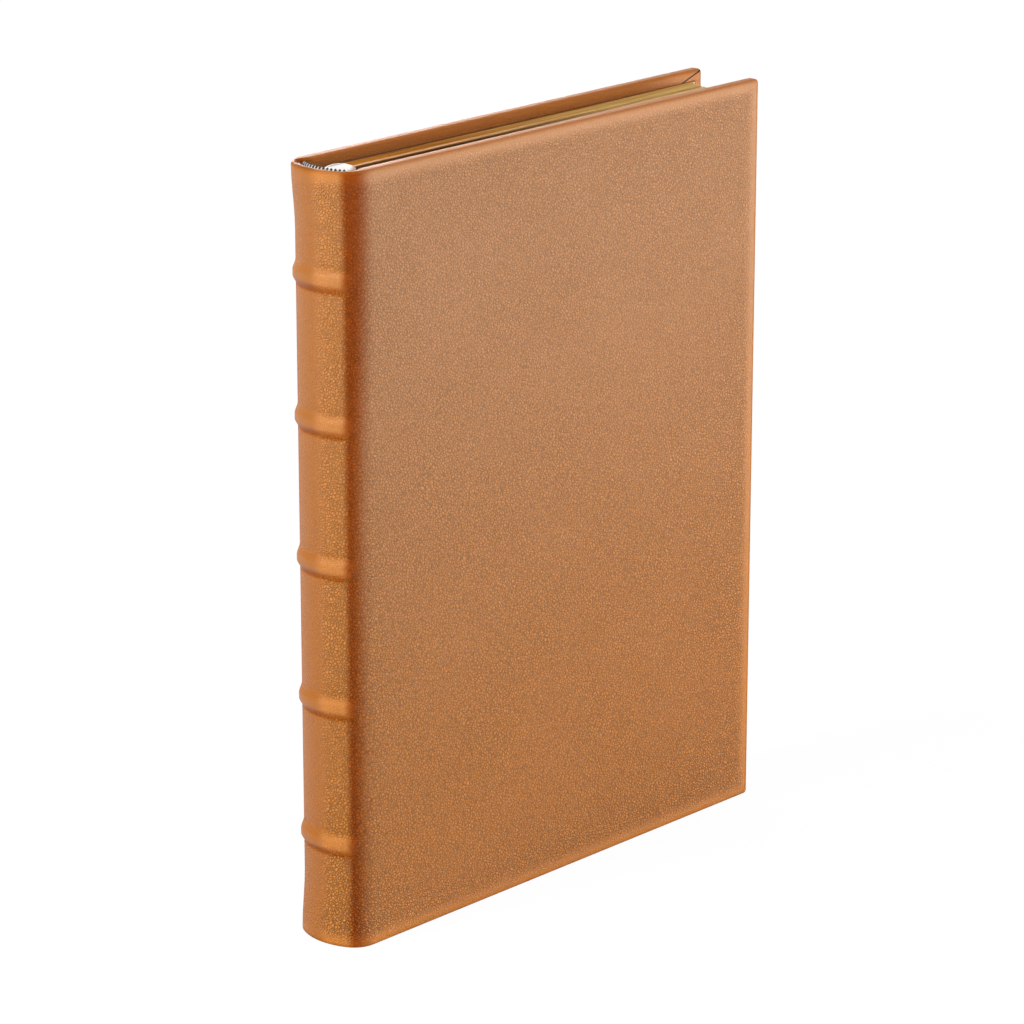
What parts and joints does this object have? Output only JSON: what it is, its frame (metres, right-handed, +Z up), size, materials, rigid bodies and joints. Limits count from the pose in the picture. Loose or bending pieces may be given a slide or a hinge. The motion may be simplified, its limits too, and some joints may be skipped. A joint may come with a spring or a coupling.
{
  "type": "leather journal",
  "caption": "Hardback journal in a rounded full leather binding with raised bands, gilt page edges, striped headbands and a ribbon marker; both covers open.",
  "frame": {"origin": "centre of the footprint, on the surface that the book stands on", "axes": "+Z up from tail to head, +X from the spine to the fore-edge, +Y from the front cover to the back cover"},
  "size_m": [0.1814, 0.027, 0.2354],
  "materials": {
    "leather": "satin",
    "board": "matte",
    "band_core": "matte",
    "gilt_pages": "satin",
    "endpaper": "matte",
    "lining_cloth": "matte",
    "headband_thread": "matte",
    "ribbon": "satin"
  },
  "bodies": {
    "book_block": {"text_block": "gilt_pages", "front_flyleaf": "endpaper", "back_flyleaf": "endpaper", "spine_lining": "lining_cloth", "head_band": "headband_thread", "tail_band": "headband_thread", "ribbon_marker": "ribbon", "spine_stiffener": "board", "raised_band_1": "band_core", "raised_band_2": "band_core", "raised_band_3": "band_core", "raised_band_4": "band_core", "raised_band_5": "band_core", "spine_leather": "leather"},
    "front_cover": {"front_board": "board", "front_leather": "leather", "front_pastedown": "endpaper"},
    "back_cover": {"back_board": "board", "back_leather": "leather", "back_pastedown": "endpaper"}
  },
  "joints": [
    {"name": "front_cover_hinge", "type": "hinge", "parent": "book_block", "child": "front_cover", "pos_m": [-0.0791, -0.01345, 0.1177], "axis": [0, 0, -1], "range_deg": [0, 175]},
    {"name": "back_cover_hinge", "type": "hinge", "parent": "book_block", "child": "back_cover", "pos_m": [-0.0791, 0.01345, 0.1177], "axis": [0, 0, 1], "range_deg": [0, 175]}
  ]
}
